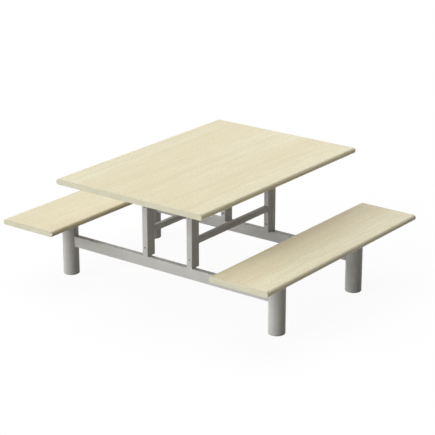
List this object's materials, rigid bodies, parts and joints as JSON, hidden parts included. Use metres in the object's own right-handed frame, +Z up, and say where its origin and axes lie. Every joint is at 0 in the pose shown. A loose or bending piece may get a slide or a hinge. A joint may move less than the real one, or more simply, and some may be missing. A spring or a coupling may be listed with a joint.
{
  "type": "canteen table with benches",
  "caption": "Rectangular canteen table with a bench fixed along each long side, on round legs joined by cross rails, posts and lengthwise stretchers.",
  "frame": {"origin": "on the floor, under the middle of the table", "axes": "+X across the table towards the right bench, +Y along the table towards the rear, +Z up"},
  "size_m": [1.923, 1.53, 0.75],
  "materials": {
    "board_laminate": "satin pale maple laminate on chipboard, fine grain along the length",
    "edge_band": "matte cream plastic edge band",
    "frame_paint": "satin light warm grey powder coat on steel tube",
    "foot_plastic": "matte moulded grey plastic",
    "plug_plastic": "matte moulded grey plastic",
    "bolt_steel": "dull dark grey phosphated steel",
    "zinc_steel": "dull zinc-plated steel"
  },
  "bodies": {
    "root": {"bearer_plug_front_left": "plug_plastic", "bearer_plug_front_right": "plug_plastic", "bearer_plug_rear_left": "plug_plastic", "bearer_plug_rear_right": "plug_plastic", "bench_band_front_left": "edge_band", "bench_band_front_right": "edge_band", "bench_band_rear_left": "edge_band", "bench_band_rear_right": "edge_band", "bench_seat_left": "board_laminate", "bench_seat_right": "board_laminate", "cross_rail_front": "frame_paint", "cross_rail_rear": "frame_paint", "foot_cap_front_left": "foot_plastic", "foot_cap_front_right": "foot_plastic", "foot_cap_rear_left": "foot_plastic", "foot_cap_rear_right": "foot_plastic", "frame_bolts": "bolt_steel", "frame_cap_nuts": "zinc_steel", "frame_washers": "zinc_steel", "leg_front_left": "frame_paint", "leg_front_right": "frame_paint", "leg_rear_left": "frame_paint", "leg_rear_right": "frame_paint", "post_front_left": "frame_paint", "post_front_right": "frame_paint", "post_rear_left": "frame_paint", "post_rear_right": "frame_paint", "seat_plate_front_left": "frame_paint", "seat_plate_front_right": "frame_paint", "seat_plate_rear_left": "frame_paint", "seat_plate_rear_right": "frame_paint", "seat_screws": "zinc_steel", "stretcher_left": "frame_paint", "stretcher_right": "frame_paint", "table_band_front": "edge_band", "table_band_rear": "edge_band", "table_top": "board_laminate", "top_bearer_front": "frame_paint", "top_bearer_rear": "frame_paint", "top_rail_left": "frame_paint", "top_rail_right": "frame_paint", "top_screws": "zinc_steel", "upright_front_left": "frame_paint", "upright_front_right": "frame_paint", "upright_plug_front_left": "plug_plastic", "upright_plug_front_right": "plug_plastic", "upright_plug_rear_left": "plug_plastic", "upright_plug_rear_right": "plug_plastic", "upright_rear_left": "frame_paint", "upright_rear_right": "frame_paint"}
  },
  "joints": []
}
